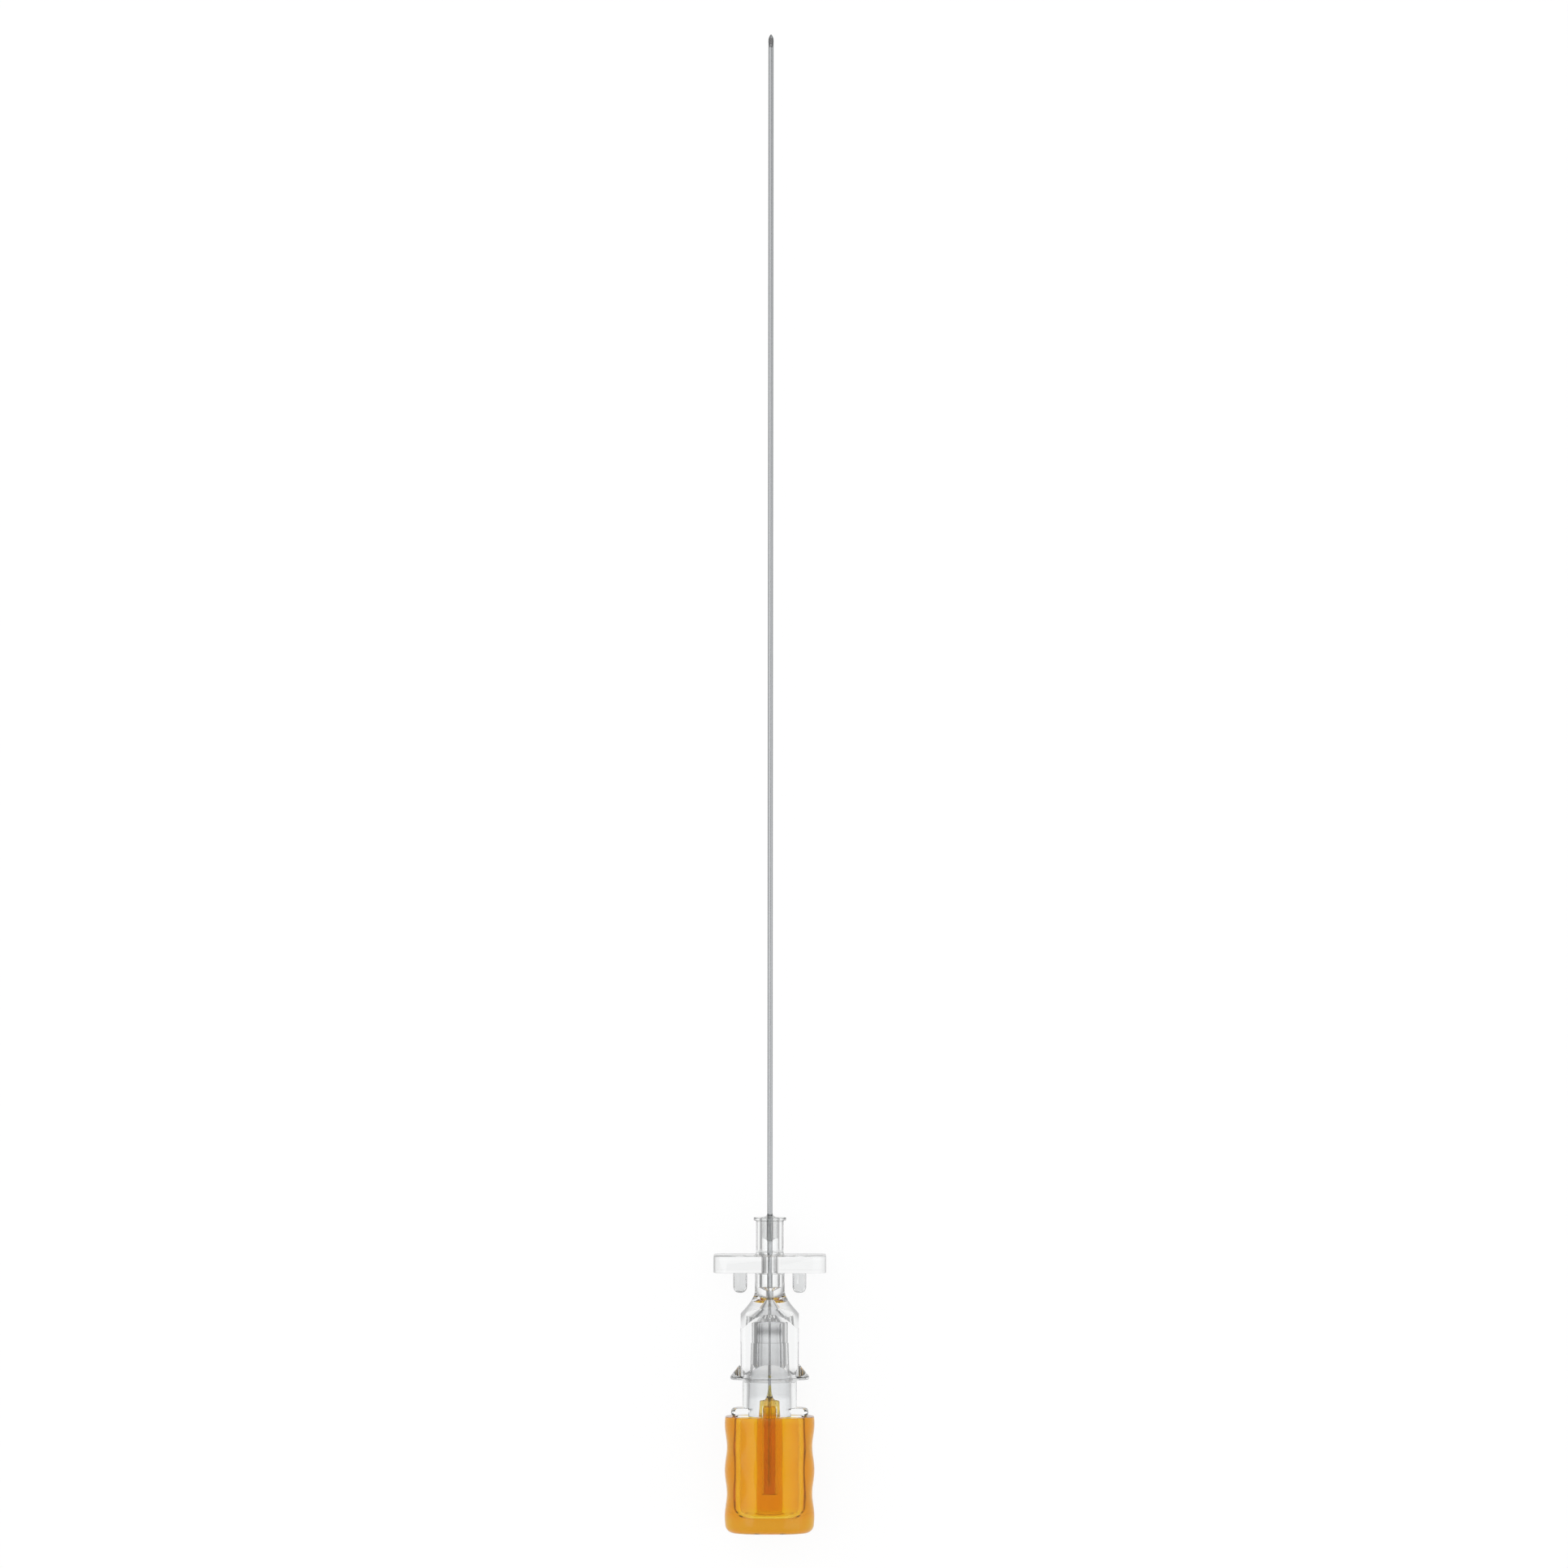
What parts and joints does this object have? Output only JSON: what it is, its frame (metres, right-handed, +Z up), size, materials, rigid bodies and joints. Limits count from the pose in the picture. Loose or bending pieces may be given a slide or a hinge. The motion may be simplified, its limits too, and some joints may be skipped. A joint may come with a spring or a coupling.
{
  "type": "spinal needle",
  "caption": "Spinal needle with a lancet point, clear winged Luer-lock hub and a withdrawable stylet on an amber handle.",
  "frame": {"origin": "on the needle's axis, where the cannula leaves the nose of the hub", "axes": "+Y along the cannula to its point, +Z up out of the near side, where the bevel and the key face, X across the grip plate"},
  "size_m": [0.0114, 0.1521, 0.008],
  "materials": {
    "cannula_steel": "drawn and ground stainless steel",
    "stylet_steel": "drawn stainless steel wire",
    "clear_hub": "clear polished polycarbonate",
    "hub_glue": "clear set adhesive",
    "amber_handle": "tinted see-through polypropylene",
    "handle_glue": "set adhesive seen through the handle"
  },
  "bodies": {
    "needle": {"cannula": "cannula_steel", "hub": "clear_hub", "hub_adhesive": "hub_glue"},
    "stylet": {"stylet_wire": "stylet_steel", "stylet_handle": "amber_handle", "stylet_adhesive": "handle_glue"}
  },
  "joints": [
    {"name": "stylet_slide", "type": "slide", "parent": "needle", "child": "stylet", "axis": [0, -1, 0], "range_m": [0, 0.142]}
  ]
}
